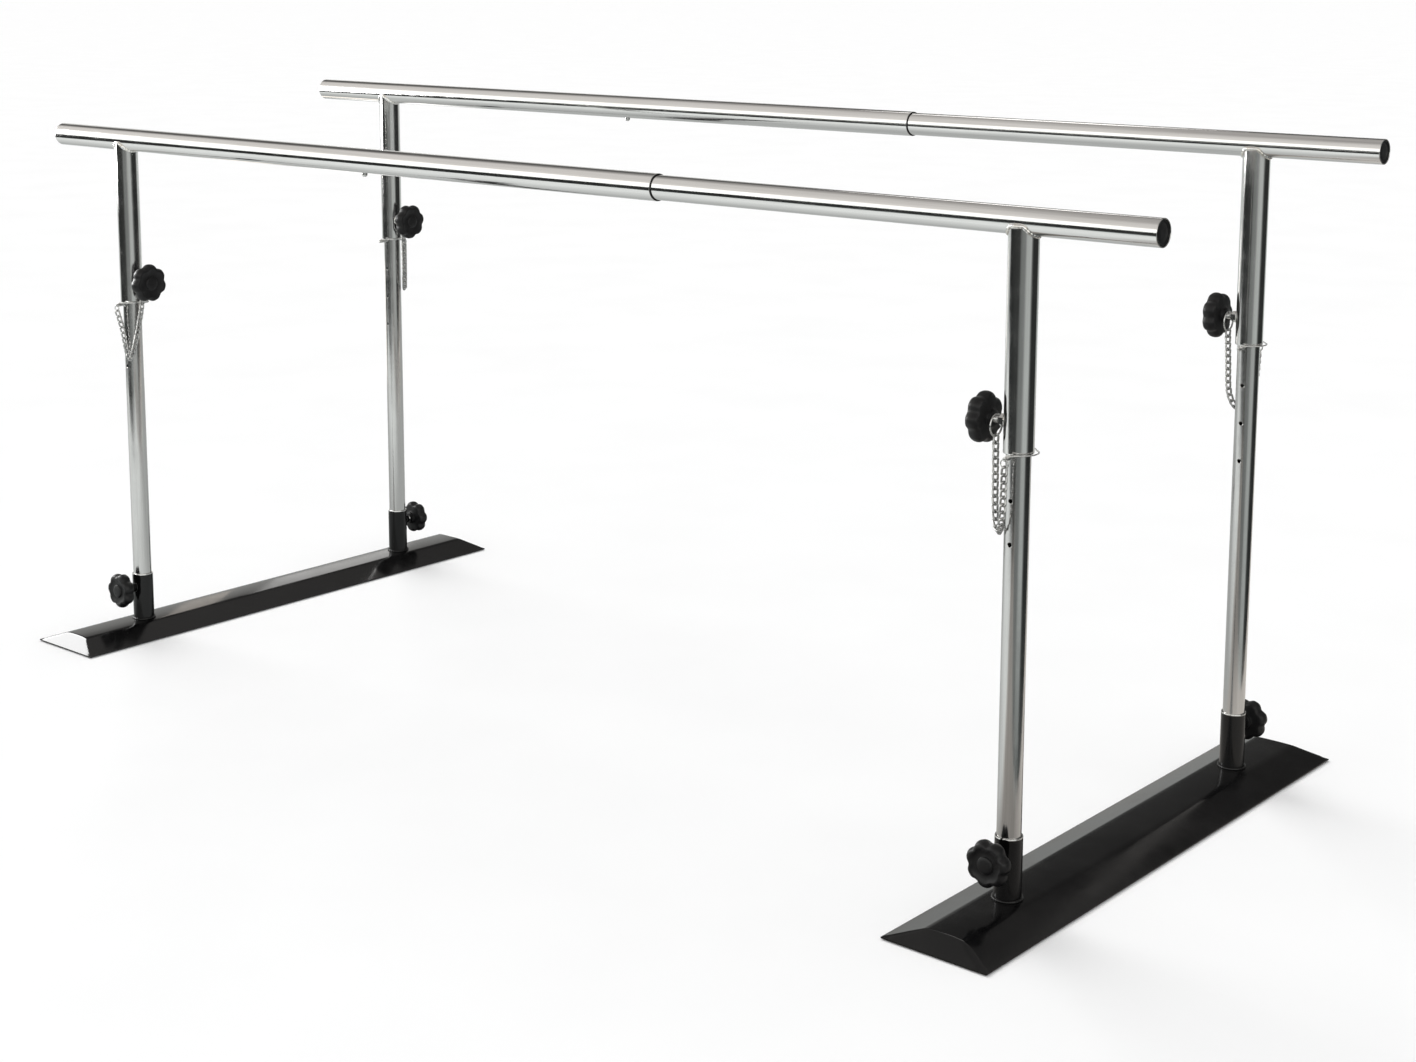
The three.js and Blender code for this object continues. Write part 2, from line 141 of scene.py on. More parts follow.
def make_camera():
    yaw, pitch, roll = (math.radians(a) for a in (-40.4012, 8.8627, -0.1584))
    ahead = Vector((math.sin(yaw) * math.cos(pitch), math.cos(yaw) * math.cos(pitch), -math.sin(pitch)))
    level = Vector((math.cos(yaw), -math.sin(yaw), 0))
    down = ahead.cross(level)
    right = level * math.cos(roll) + down * math.sin(roll)
    down = ahead.cross(right)
    data = bpy.data.cameras.new("camera")
    data.sensor_width = 36
    data.lens = 55.3845
    data.shift_x = 0.0015
    data.shift_y = -0.16
    data.clip_start = 0.05
    data.clip_end = 500
    camera = bpy.data.objects.new("camera", data)
    turn = Matrix((right, -down, -ahead)).transposed().to_4x4()
    camera.matrix_world = Matrix.Translation((2.0972, -2.3001, 1.0748)) @ turn
    bpy.context.scene.collection.objects.link(camera)
    bpy.context.scene.camera = camera


make_camera()


# ---- Mesh tools ----

class Mesh:
    """Vertices and faces under construction, in metres."""

    def __init__(self):
        self.verts, self.faces, self.mats = [], [], []

    def ring(self, points):
        start = len(self.verts)
        self.verts.extend(Vector(p) for p in points)
        return list(range(start, len(self.verts)))

    def face(self, *corners, mat=0):
        self.faces.append(corners)
        self.mats.append(mat)

    def strip(self, a, b, closed=True):
        n = len(a)
        for i in range(n if closed else n - 1):
            j = (i + 1) % n
            self.face(a[i], a[j], b[j], b[i])

    def loft(self, rings, closed=False, caps=False):
        """Joins the rings in turn. A ring may be a single point."""
        for a, b in zip(rings, rings[1:] + (rings[:1] if closed else [])):
            if len(a) == 1:
                for here, following in zip(b, b[1:] + b[:1]):
                    self.face(a[0], following, here)
            elif len(b) == 1:
                for here, following in zip(a, a[1:] + a[:1]):
                    self.face(here, following, b[0])
            else:
                self.strip(a, b)
        if caps:
            self.face(*rings[0])
            self.face(*reversed(rings[-1]))

    def join(self, other, matrix=None):
        start = len(self.verts)
        self.verts.extend((matrix @ v) if matrix else v.copy() for v in other.verts)
        self.faces.extend(tuple(start + i for i in f) for f in other.faces)
        self.mats.extend(other.mats)
        return self

    def moved(self, matrix):
        self.verts = [matrix @ v for v in self.verts]
        return self


def turns(sides):
    return [TAU * i / sides for i in range(sides)]


def polar(radius, angle, z=0.0):
    return radius * math.cos(angle), radius * math.sin(angle), z


def circle(radius, z, sides):
    return [polar(radius, a, z) for a in turns(sides)]


def revolve(profile, sides=96, closed=False, shape=None):
    """A body of revolution about Z. shape(radius, angle) may change the radius."""
    mesh = Mesh()
    rings = []
    for r, z in profile:
        angles = turns(sides) if r else [0.0]
        rings.append(mesh.ring([polar(shape(r, a) if shape else r, a, z) for a in angles]))
    mesh.loft(rings, closed=closed)
    return mesh


def outline(radius, height, steps):
    """Profile points at the given millimetres outward and upward of a radius and a height."""
    return [(radius + out * MM, height + up * MM) for out, up in steps]


def rounded(points, radius, steps=4):
    """Rounds the corners of a closed profile, with a supporting point beside each rounding."""
    out = []
    n = len(points)
    for i in range(n):
        p = Vector(points[i])
        before = Vector(points[i - 1]) - p
        after = Vector(points[(i + 1) % n]) - p
        reach = min(radius, before.length * 0.45, after.length * 0.45)
        a, b = before.normalized() * reach, after.normalized() * reach
        if before.length > 6 * reach:
            out.append(p + a * 2.2)
        for k in range(steps + 1):
            t = k / steps
            out.append(p + a * (1 - t) ** 2 + b * t ** 2)
        if after.length > 6 * reach:
            out.append(p + b * 2.2)
    return [(v.x, v.y) for v in out]


def sweep(points, radius, sides=10, closed=False):
    """A round wire along points. radius is a number or a function of the share of the way."""
    mesh = Mesh()
    n = len(points)
    pts = [Vector(p) for p in points]
    if closed:
        tangents = [(pts[(i + 1) % n] - pts[i - 1]).normalized() for i in range(n)]
    else:
        tangents = [(pts[min(i + 1, n - 1)] - pts[max(i - 1, 0)]).normalized() for i in range(n)]
    normal = tangents[0].orthogonal().normalized()
    rings = []
    for i, t in enumerate(tangents):
        normal = (normal - t * normal.dot(t)).normalized()
        side = t.cross(normal)
        r = radius(i / max(1, n - 1)) if callable(radius) else radius
        rings.append(mesh.ring([pts[i] + (normal * math.cos(a) + side * math.sin(a)) * r
                                for a in turns(sides)]))
    mesh.loft(rings, caps=not closed)
    if closed:
        # The transported frame may come back turned, so the last strip starts at the nearest corner.
        first, last = rings[0], rings[-1]
        shift = min(range(sides), key=lambda k: (mesh.verts[first[k]] - mesh.verts[last[0]]).length)
        mesh.strip(last, first[shift:] + first[:shift])
    return mesh


def smooth_path(points, count):
    """A centripetal Catmull-Rom curve through points."""
    pts = [Vector(p) for p in points]
    last = len(pts) - 1
    out = []
    for k in range(count + 1):
        at = last * k / count
        i = min(int(at), last - 1)
        w = at - i
        p1, p2 = pts[i], pts[i + 1]
        p0 = pts[i - 1] if i > 0 else p1 * 2 - p2
        p3 = pts[i + 2] if i + 2 <= last else p2 * 2 - p1
        d0, d1, d2 = (math.sqrt((b - a).length) for a, b in ((p0, p1), (p1, p2), (p2, p3)))
        t1 = ((p1 - p0) / d0 - (p2 - p0) / (d0 + d1) + (p2 - p1) / d1) * d1
        t2 = ((p2 - p1) / d1 - (p3 - p1) / (d1 + d2) + (p3 - p2) / d2) * d1
        c2 = (p2 - p1) * 3 - t1 * 2 - t2
        c3 = (p1 - p2) * 2 + t1 + t2
        out.append(p1 + t1 * w + c2 * w ** 2 + c3 * w ** 3)
    return out


def evenly(path, count):
    """count + 1 points at even distances along a path, and the path's length."""
    along = [0.0]
    for a, b in zip(path, path[1:]):
        along.append(along[-1] + (b - a).length)
    out = []
    i = 0
    for k in range(count + 1):
        want = along[-1] * k / count
        while i < len(path) - 2 and along[i + 1] < want:
            i += 1
        share = (want - along[i]) / max(along[i + 1] - along[i], 1e-12)
        out.append(path[i].lerp(path[i + 1], min(1.0, share)))
    return out, along[-1]


def rolled_rim(mesh, walls, radii, z, inward, edge, sides):
    """Joins a tube's outer and inner wall at its end at height z. inward is 1 or -1 along Z."""
    rim = [walls[0]]
    quarter = [n / 4 * math.pi / 2 for n in range(5)]
    for radius, way, angles in ((radii[0], -1, quarter), (radii[1], 1, quarter[::-1])):
        for t in angles:
            here = radius + way * edge * (1 - math.cos(t))
            rim.append(mesh.ring(circle(here, z + inward * edge * (1 - math.sin(t)), sides)))
    mesh.loft(rim + [walls[1]])


def drilled_tube(outer, bore, low, high, holes, edge=0.4 * MM):
    """A tube about Z with round holes. holes lists (column, height, radius, columns to each side)."""
    sides = TUBE_SIDES
    mesh = Mesh()
    step = TAU / sides
    levels = {low + edge * 3, high - edge * 3}
    for _, z, _, m in holes:
        levels.update(round(z + k * step * outer, 7) for k in range(-m, m + 1))
    levels = sorted(levels)
    taken = set()
    for column, z, _, m in holes:
        for k in range(-m, m):
            level = levels.index(round(z + k * step * outer, 7))
            taken.update(((column + i) % sides, level) for i in range(-m, m))
    walls = {}
    for radius in (outer, bore):
        walls[radius] = [mesh.ring(circle(radius, z, sides)) for z in levels]
        for k, (a, b) in enumerate(zip(walls[radius], walls[radius][1:])):
            for i in range(sides):
                if (i, k) not in taken:
                    j = (i + 1) % sides
                    mesh.face(a[i], a[j], b[j], b[i])
    for column, z, r, m in holes:
        first = levels.index(round(z - m * step * outer, 7))
        square = (
            [(i, -m) for i in range(-m, m)] + [(m, k) for k in range(-m, m)]
            + [(i, m) for i in range(m, -m, -1)] + [(-m, k) for k in range(m, -m, -1)]
        )
        lips = []
        for radius, inward in ((outer, HOLE_LIP["outside"]), (bore, -HOLE_LIP["inside"])):
            rings = [[walls[radius][first + m + k][(column + i) % sides] for i, k in square]]
            for grow, depth in ((HOLE_LIP["width"], 0.0), (0.0, inward)):
                points = []
                for i, k in square:
                    across, up, _ = polar(r + grow, math.atan2(k, i))
                    points.append(polar(radius - depth, column * step + math.asin(across / radius), z + up))
                rings.append(mesh.ring(points))
            mesh.loft(rings)
            lips.append(rings[-1])
        mesh.strip(lips[0], lips[1])
    for k, z, inward in ((0, low, 1), (-1, high, -1)):
        rolled_rim(mesh, (walls[outer][k], walls[bore][k]), (outer, bore), z, inward, edge, sides)
    return mesh


AXES = {
    "+X": Matrix(((0, 0, 1), (0, 1, 0), (-1, 0, 0))),
    "-X": Matrix(((0, 0, -1), (0, 1, 0), (1, 0, 0))),
    "+Y": Matrix(((1, 0, 0), (0, 0, 1), (0, -1, 0))),
    "-Y": Matrix(((1, 0, 0), (0, 0, -1), (0, 1, 0))),
}


def pointing(direction, at):
    return Matrix.Translation(at) @ AXES[direction].to_4x4()


def to_x(end):
    return "+X" if INWARD[end] > 0 else "-X"


def to_y(side):
    return "+Y" if OUTWARD[side] > 0 else "-Y"


def finished(name, mesh, body, material, replaces=(), angle=34):
    """Makes the Blender object of a piece and ties it to its CAD body and nodes."""
    materials = material if isinstance(material, list) else [material]
    data = bpy.data.meshes.new(name)
    data.from_pydata(mesh.verts, [], mesh.faces)
    for m in materials:
        data.materials.append(m)
    if len(materials) > 1:
        data.polygons.foreach_set("material_index", mesh.mats)
    bm = bmesh.new()
    bm.from_mesh(data)
    bmesh.ops.recalc_face_normals(bm, faces=bm.faces)
    bm.to_mesh(data)
    bm.free()
    data.shade_smooth()
    data.set_sharp_from_angle(angle=math.radians(angle))
    piece = bpy.data.objects.new(name, data)
    bpy.context.scene.collection.objects.link(piece)
    if body:
        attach(piece, body)
    if replaces:
        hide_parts(*replaces)
    return piece


# ---- Materials ----

class Nodes:
    """A short way to wire a node tree."""

    def __init__(self, tree):
        self.tree = tree

    def put(self, value, socket):
        """Sets a socket to a number, a vector or a colour, or links it to another node's output."""
        if isinstance(value, (int, float)):
            socket.default_value = value
        elif isinstance(value, tuple):
            socket.default_value = (*value, 1)[:len(socket.default_value)]
        else:
            self.tree.links.new(value, socket)

    def add(self, kind, inputs=None, **settings):
        node = self.tree.nodes.new(kind)
        for key, value in settings.items():
            setattr(node, key, value)
        for key, value in (inputs or {}).items():
            self.put(value, node.inputs[key])
        return node

    def maths(self, operation, *values):
        return self.add("ShaderNodeMath", dict(enumerate(values)), operation=operation).outputs[0]

    def between(self, value, low, high, to_low=0.0, to_high=1.0, **settings):
        ends = {"From Min": low, "From Max": high, "To Min": to_low, "To Max": to_high}
        return self.add("ShaderNodeMapRange", {"Value": value, **ends}, **settings).outputs["Result"]

    def colours(self, value, stops):
        ramp = self.add("ShaderNodeValToRGB", {"Fac": value})
        elements = ramp.color_ramp.elements
        for element, (position, colour) in ((elements[0], stops[0]), (elements[1], stops[-1])):
            element.position = position
            element.color = (*colour, 1)
        for position, colour in stops[1:-1]:
            elements.new(position).color = (*colour, 1)
        return ramp.outputs["Color"]


class Material(Nodes):
    """A material whose Principled BSDF is wired up."""

    def __init__(self, name):
        self.material = bpy.data.materials.new(name)
        self.material.use_nodes = True
        super().__init__(self.material.node_tree)
        self.shader = self.tree.nodes["Principled BSDF"]
        self.place = self.add("ShaderNodeTexCoord").outputs["Object"]

    def scaled(self, *scale):
        return self.add("ShaderNodeMapping", {"Vector": self.place, "Scale": scale}).outputs["Vector"]

    def noise(self, vector, scale, detail=4.0, rough=0.55):
        return self.add("ShaderNodeTexNoise", {"Vector": vector, "Scale": scale, "Detail": detail,
                                               "Roughness": rough}).outputs["Fac"]

    def bump(self, height, strength, distance):
        node = self.add("ShaderNodeBump", {"Height": height, "Strength": strength, "Distance": distance})
        self.set(Normal=node.outputs["Normal"])

    def set(self, **values):
        """Sets or links inputs of the shader."""
        for key, value in values.items():
            self.put(value, self.shader.inputs[key.replace("_", " ")])

    def edges(self, low, high):
        """1 on convex edges and 0 elsewhere."""
        return self.between(self.add("ShaderNodeNewGeometry").outputs["Pointiness"], low, high)


def polished_steel(name, axis, roughness=(0.07, 0.16), tone=0.0):
    """Polished tube: fine drawing streaks along the tube and faint smudges."""
    n = Material(name)
    fine = {"x": (3, 260, 260), "z": (260, 260, 3)}[axis]
    broad = {"x": (1.5, 45, 45), "z": (45, 45, 1.5)}[axis]
    streaks = n.noise(n.scaled(*fine), 4.0, 5.0, 0.6)
    bands = n.noise(n.scaled(*broad), 3.0, 3.0, 0.5)
    smudges = n.noise(n.place, 26.0, 5.0, 0.62)
    both = n.maths("MULTIPLY", n.maths("ADD", streaks, bands), 0.5)
    light, dark = 0.83 - tone, 0.70 - tone
    n.set(Metallic=1.0,
          Base_Color=n.colours(both, [(0.3, (dark, dark * 0.992, dark * 0.975)),
                                      (0.7, (light, light * 0.995, light * 0.985))]),
          Roughness=n.maths("ADD", n.between(smudges, 0.38, 0.72, *roughness),
                            n.between(streaks, 0.4, 0.75, -0.012, 0.03)))
    n.bump(n.maths("ADD", n.maths("MULTIPLY", streaks, 0.5), bands), 0.22, 0.00008)
    return n.material


def plated_steel(name, tone=0.0):
    """Bright zinc plate: slightly mottled in brightness and gloss."""
    n = Material(name)
    mottle = n.noise(n.place, 420.0, 4.0, 0.6)
    cloud = n.noise(n.place, 90.0, 3.0, 0.5)
    mix = n.maths("MULTIPLY", n.maths("ADD", mottle, cloud), 0.5)
    dull, mean, bright = 0.53 - tone, 0.72 - tone, 0.80 - tone
    n.set(Metallic=1.0,
          Base_Color=n.colours(mix, [(0.32, (dull * 0.98, dull, dull * 1.02)),
                                     (0.55, (mean, mean, mean * 0.98)),
                                     (0.75, (bright, bright * 0.99, bright * 0.95))]),
          Roughness=n.between(mottle, 0.3, 0.7, 0.16, 0.34))
    n.bump(mottle, 0.18, 0.00006)
    return n.material


def weld_steel(name):
    """A bright weld bead that was polished over: heat tint in patches and a fine ripple."""
    n = Material(name)
    cloud = n.noise(n.place, 160.0, 4.0, 0.6)
    n.set(Metallic=1.0,
          Base_Color=n.colours(cloud, [(0.3, (0.70, 0.66, 0.58)), (0.5, (0.92, 0.91, 0.88)),
                                       (0.7, (0.80, 0.81, 0.84))]),
          Roughness=n.between(cloud, 0.3, 0.7, 0.14, 0.30))
    n.bump(n.noise(n.place, 900.0, 3.0), 0.25, 0.0001)
    return n.material


def gloss_paint(name):
    """Black powder coat with gloss: faint orange peel, dust in patches and grey rubbing on the ridges."""
    n = Material(name)
    dust = n.noise(n.place, 14.0, 6.0, 0.65)
    peel = n.noise(n.place, 520.0, 3.0, 0.5)
    scuff = n.noise(n.scaled(60, 7, 60), 5.0, 6.0, 0.7)
    worn = n.maths("MULTIPLY", n.edges(0.52, 0.62), n.between(scuff, 0.45, 0.65))
    dusty = n.maths("ADD", n.between(dust, 0.42, 0.75, 0.0, 0.35), n.maths("MULTIPLY", worn, 0.6))
    n.set(IOR=1.42,
          Base_Color=n.colours(n.maths("MINIMUM", dusty, 1.0),
                               [(0.0, (0.0025, 0.0025, 0.0028)), (1.0, (0.014, 0.0135, 0.013))]),
          Roughness=n.maths("ADD", n.between(dust, 0.35, 0.75, 0.10, 0.24), n.maths("MULTIPLY", worn, 0.15)))
    n.bump(peel, 0.06, 0.00008)
    return n.material


def moulded_plastic(name, roughness=(0.34, 0.52), grain=1900.0):
    """Black moulded plastic: fine spark-eroded grain, polished a little where fingers rub."""
    n = Material(name)
    fine = n.noise(n.place, grain, 3.0, 0.6)
    patch = n.noise(n.place, 70.0, 4.0, 0.6)
    worn = n.edges(0.51, 0.58)
    n.set(IOR=1.38,
          Base_Color=n.colours(patch, [(0.3, (0.004, 0.004, 0.0045)), (0.7, (0.009, 0.009, 0.0095))]),
          Roughness=n.maths("SUBTRACT", n.between(patch, 0.3, 0.7, *reversed(roughness)),
                            n.maths("MULTIPLY", worn, 0.08)))
    n.bump(fine, 0.22, 0.00008)
    return n.material


def soft_rubber(name):
    n = Material(name)
    fine = n.noise(n.place, 800.0, 4.0, 0.7)
    dust = n.noise(n.place, 30.0, 5.0, 0.6)
    n.set(Base_Color=n.colours(dust, [(0.35, (0.012, 0.012, 0.012)), (0.75, (0.04, 0.038, 0.035))]),
          Roughness=n.between(fine, 0.3, 0.7, 0.7, 0.92))
    n.bump(fine, 0.4, 0.0002)
    return n.material


RAIL_STEEL = polished_steel("rail_steel", "x")
POST_STEEL = polished_steel("post_steel", "z", (0.09, 0.18))
LOWER_STEEL = polished_steel("lower_post_steel", "z", (0.12, 0.22), 0.12)
PLATE = plated_steel("zinc_plate")
CHAIN_METAL = plated_steel("chain_plate", 0.2)
WELD = weld_steel("weld_metal")
PAINT = gloss_paint("gloss_black_paint")
KNOB_PLASTIC = moulded_plastic("knob_plastic")
PLUG_PLASTIC = moulded_plastic("plug_plastic", (0.42, 0.6), 1400.0)
RUBBER = soft_rubber("foot_rubber")


def hardware(name, mesh, body, node, angle=34):
    """A zinc-plated piece that takes the place of one CAD node."""
    finished(name, mesh, body, PLATE, [node], angle)


# ---- Chains: a ring-side run and a pin-side run that meet at the lowest point ----

RING_DROP = RING_R - RING_WIRE_R - SCREW_R - GAP


def chain_route(side, end):
    """The chain's line, in the upright plane through the ring and the eye on the lock pin.

    Three chains hang as a narrow U; the front left one is stiffer and hangs as a V.
    """
    stiff = (side, end) == ("front", "left")
    pin = pin_z(side)
    low = pin - CHAIN_DROP
    ring_end = knob_z(side) - RING_DROP - RING_R + RING_WIRE_R
    eye_end = pin - 2 * EYE["radius"] + EYE["wire"]
    at = post(side, end)

    def hung(share, z):
        x = INWARD[end] * RING_FROM_POST * (1 - share)
        return at + Vector((x, OUTWARD[side] * EYE["from_post"] * share, z))

    shares = (0.14, 0.43, 0.58, 0.7, 0.82) if stiff else (0.04, 0.16, 0.48, 0.84, 0.96)
    heights = (pin - 20 * MM, low + 16 * MM, low, low + 16 * MM, pin - 40 * MM)
    points = [hung(0, ring_end)] + [hung(t, z) for t, z in zip(shares, heights)] + [hung(1, eye_end)]
    return smooth_path(points, 240)


def link_mesh(middle, along, side, twist):
    """One closed oval link of round wire, given a quarter twist from end to end."""
    points = []
    reach = LINK["straight"] + LINK["bend"]
    for a in turns(28):
        straight = LINK["straight"] if math.cos(a) > 0 else -LINK["straight"]
        up = straight + LINK["bend"] * math.cos(a)
        turn = Matrix.Rotation(twist * math.pi / 4 * (1 + up / reach), 3, along)
        points.append(middle + along * up + turn @ side * LINK["bend"] * math.sin(a))
    return sweep(points, LINK["wire"], sides=8, closed=True)


def chain_run(name, path, across, twist, replaces):
    """One run of interlocked links. across is the way in which the first link's loop is open."""
    count = round(evenly(path, 1)[1] / LINK["pitch"])
    points, length = evenly(path, count)
    mesh = Mesh()
    for a, b in zip(points, points[1:]):
        along = (b - a).normalized()
        side = (across - along * across.dot(along)).normalized()
        mesh.join(link_mesh((a + b) / 2, along, side, twist))
    piece = finished(name, mesh, None, CHAIN_METAL, replaces, angle=60)
    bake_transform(piece)


for side, end in SPOTS:
    spot = f"{side}_{end}"
    route = chain_route(side, end)
    lowest = min(range(len(route)), key=lambda k: route[k].z)
    runs = (("ring", route[:lowest + 1], f"{spot}_upright", (1, 0, 0), -1, [f"chain_{spot}"]),
            ("pin", route[lowest:][::-1], f"lock_pin_{spot}_body", (0, 1, 0), 1, []))
    for kind, path, body, across, twist, replaces in runs:
        chain_run(f"chain_{kind}_run_{spot}", path,
                  Vector(across), twist, replaces)


# ---- Floor bases ----

def soft_min(a, b, k):
    h = max(k - abs(a - b), 0.0) / k
    return min(a, b) - h * h * k / 4


def base_height(x, y, foot, crown, top, low):
    """Height of the pressed shell above the floor: two slopes, two hipped ends and a gently arched crown."""
    soft = BASE["soft"]
    lift = 0.4 * MM  # makes up for what the soft minimum takes off the crown
    arch = top - BASE["arch"] * min(1.0, (x / crown[0]) ** 2)
    slope = low + (foot[0] - abs(x)) * (top - low) / (foot[0] - crown[0])
    hip = low + (foot[1] - abs(y)) * (top - low) / (foot[1] - crown[1])
    return soft_min(soft_min(arch + lift, slope, soft), hip, soft * 0.6)


def spaced(half, near, count, fine):
    """Positions from -half to half that gather near the given distances from the middle."""
    marks = {0.0, half}
    for centre_at in near:
        marks.update(min(half, max(0.0, centre_at + k * fine)) for k in range(-5, 6))
    marks.update(half * k / count for k in range(count))
    marks = sorted(marks)
    kept = [marks[0]]
    for m in marks[1:-1]:
        if m - kept[-1] > fine * 0.45 and half - m > fine * 0.45:
            kept.append(m)
    kept.append(half)
    return [-m for m in reversed(kept[1:])] + kept


def base_shell(end):
    low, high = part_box("base_" + end)
    foot = ((high.x - low.x) / 2, (high.y - low.y) / 2)
    crown = (BASE["crown"], foot[1] - BASE["hip"])
    lip = low.z + BASE["lip"]
    xs = spaced(foot[0], [crown[0]], count=12, fine=1.1 * MM)
    ys = spaced(foot[1], [crown[1], foot[1] - 12 * MM], count=46, fine=1.5 * MM)
    mesh = Mesh()
    mid = centre("base_" + end)

    def layer(shrink, drop, floor):
        rows = []
        for y in ys:
            row = []
            for x in xs:
                z = max(base_height(x, y, foot, crown, high.z, lip) - drop, floor)
                row.append((mid.x + x * shrink, mid.y + y * (1 - (1 - shrink) * 0.2), z))
            rows.append(mesh.ring(row))
        return rows

    outer = layer(1.0, 0.0, lip)
    inner = layer(0.955, BASE["wall"], low.z)
    for rows in (outer, inner):
        for a, b in zip(rows, rows[1:]):
            mesh.strip(a, b, closed=False)

    def border(rows):
        return rows[0] + [r[-1] for r in rows[1:]] + rows[-1][-2::-1] + [r[0] for r in rows[-2:0:-1]]

    edge = border(outer)
    inside = border(inner)
    down = mesh.ring([(mesh.verts[i].x, mesh.verts[i].y, low.z + 0.4 * MM) for i in edge])
    under = mesh.ring([mesh.verts[a].lerp(mesh.verts[b], 0.15).xy.to_3d() + Vector((0, 0, low.z))
                       for a, b in zip(edge, inside)])
    mesh.strip(edge, down)
    mesh.strip(down, under)
    mesh.strip(under, inside)
    return mesh


def foot_strip(end):
    """A ribbed rubber strip: grooves run along its underside."""
    low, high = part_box("foot_strip_" + end)
    half = (high.x - low.x) / 2
    edge, bevel = 1 * MM, 0.6 * MM
    rib, groove, depth = 0.9 * MM, 1.6 * MM, 1.1 * MM
    section = [(-half, low.z + edge), (-half, high.z - bevel), (-half + bevel, high.z),
               (half - bevel, high.z), (half, high.z - bevel), (half, low.z + edge)]
    ribs = 8
    for k in range(ribs, -1, -1):
        x = -half + edge + (2 * half - 2 * edge) * k / ribs
        if k < ribs:
            section += [(x + groove, low.z + depth), (x + rib, low.z)]
        if k > 0:
            section += [(x - rib, low.z), (x - groove, low.z + depth)]
    mesh = Mesh()
    middle = centre("foot_strip_" + end).x
    rings = [mesh.ring([(middle + x, y, z) for x, z in section])
             for y in (low.y, low.y + edge, high.y - edge, high.y)]
    mesh.loft(rings, caps=True)
    return mesh


for end in ENDS:
    body = end + "_stand"
    finished("base_shell_" + end, base_shell(end), body, PAINT,
             ["base_" + end], angle=48)
    finished("foot_rubber_" + end, foot_strip(end), body, RUBBER,
             ["foot_strip_" + end], angle=30)


# ---- Nuts and weld beads ----

def hex_nut(start, reach):
    """A hexagon nut about Z with chamfered corners, from start outward."""
    flat = NUT_R * math.cos(math.pi / 6)
    stop = start + reach

    def shape(r, a):
        return min(r, flat / math.cos((a % (math.pi / 3)) - math.pi / 6))

    profile = (
        [(SCREW_R + 0.3 * MM, start), (flat, start)] + outline(NUT_R, start, [(0, 0.6), (0, 1.2)])
        + outline(NUT_R, stop, [(0, -1.2), (0, -0.7)]) + [(flat - 0.2 * MM, stop)]
        + outline(SCREW_R, stop, [(0.9, 0), (0.3, -0.5)])
    )
    return revolve(profile, 72, closed=True, shape=shape)


def bead(points, radius, ripples, seed):
    """A weld bead along a closed line: overlapping ripples of slightly uneven width."""
    rng = random.Random(seed)
    phase = rng.random() * TAU

    def width(share):
        wave = (share * ripples) % 1.0
        uneven = math.sin(share * TAU * 3 + phase) * 0.08 + math.sin(share * TAU * 7 + 2 * phase) * 0.05
        return radius * (0.86 + 0.24 * math.sin(wave * math.pi) ** 0.7 + uneven)

    return sweep(points, width, closed=True)


def screw_nut_on(tube_r):
    return hex_nut(tube_r - NUT_SINK, NUT_REACH + NUT_SINK)


def nut_weld(tube_r, seed):
    """The bead round the foot of a nut that stands on a tube of that radius, made about Z."""
    points = []
    around, lift = 7.4 * MM, 0.2 * MM
    for a in turns(72):
        x, y, _ = polar(around, a)
        points.append((x, y, math.sqrt(tube_r ** 2 - y ** 2) + lift))
    return bead(points, BEAD_R["nut"], 18, seed)


# ---- Sockets ----

def socket_tube(side, end):
    """The socket: a tube with a slit rim; the top edge is bare metal."""
    node = f"socket_{side}_{end}"
    low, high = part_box(node)
    foot, top = low.z, high.z
    slit_low = top - SLIT["depth"]
    bare = top - 1.6 * MM
    walls = (foot, foot + 4 * MM, slit_low - 2 * MM, slit_low, bare - 0.3 * MM, bare)
    outer = [(SOCKET_R, z) for z in walls]
    outer += outline(SOCKET_R, top, [(0, -0.5), (-0.15, -0.15), (-0.45, 0)])
    inner = outline(SOCKET_BORE_R, top, [(0.4, 0), (0, -0.4)])
    inner += [(SOCKET_BORE_R, z) for z in (bare, slit_low, foot)]
    profile = outer + inner
    cut = math.radians(90 * OUTWARD[side])
    half = SLIT["half"] / SOCKET_R
    columns = 88
    mesh = Mesh()
    at = post(side, end)
    rings = []
    for k in range(columns + 1):
        a = cut + half + (TAU - 2 * half) * k / columns
        rings.append(mesh.ring([at + Vector(polar(r, a, z)) for r, z in profile]))
    n = len(profile)

    def skin(i):
        return 1 if profile[i][1] >= bare - 1e-6 and profile[(i + 1) % n][1] >= bare - 1e-6 else 0

    for a, b in zip(rings, rings[1:]):
        for i in range(n):
            j = (i + 1) % n
            mesh.face(a[i], a[j], b[j], b[i], mat=skin(i))
    first, last = rings[0], rings[-1]
    for i in range(n):
        j = (i + 1) % n
        if max(profile[i][1], profile[j][1]) <= slit_low + 1e-6:
            mesh.face(last[i], last[j], first[j], first[i])
    out_at = outer.index((SOCKET_R, slit_low))
    in_at = len(outer) + inner.index((SOCKET_BORE_R, slit_low))
    mesh.face(last[out_at], last[in_at], first[in_at], first[out_at])
    mesh.face(*first[out_at:in_at + 1])
    mesh.face(*reversed(last[out_at:in_at + 1]))
    nut_at = at + Vector((0, 0, LOWER_KNOB_Z))
    mesh.join(screw_nut_on(SOCKET_R), pointing(to_y(side), nut_at))
    mesh.join(nut_weld(SOCKET_R, 40 + len(node)), pointing(to_y(side), nut_at))
    ring = [at + Vector(p) for p in circle(SOCKET_R + 0.5 * MM, foot + 0.9 * MM, 144)]
    mesh.join(bead(ring, BEAD_R["socket"], 34, node))
    return mesh


for side, end in SPOTS:
    finished(f"socket_tube_{side}_{end}", socket_tube(side, end), end + "_stand",
             [PAINT, POST_STEEL], [f"socket_{side}_{end}"], angle=40)


# ---- Posts ----

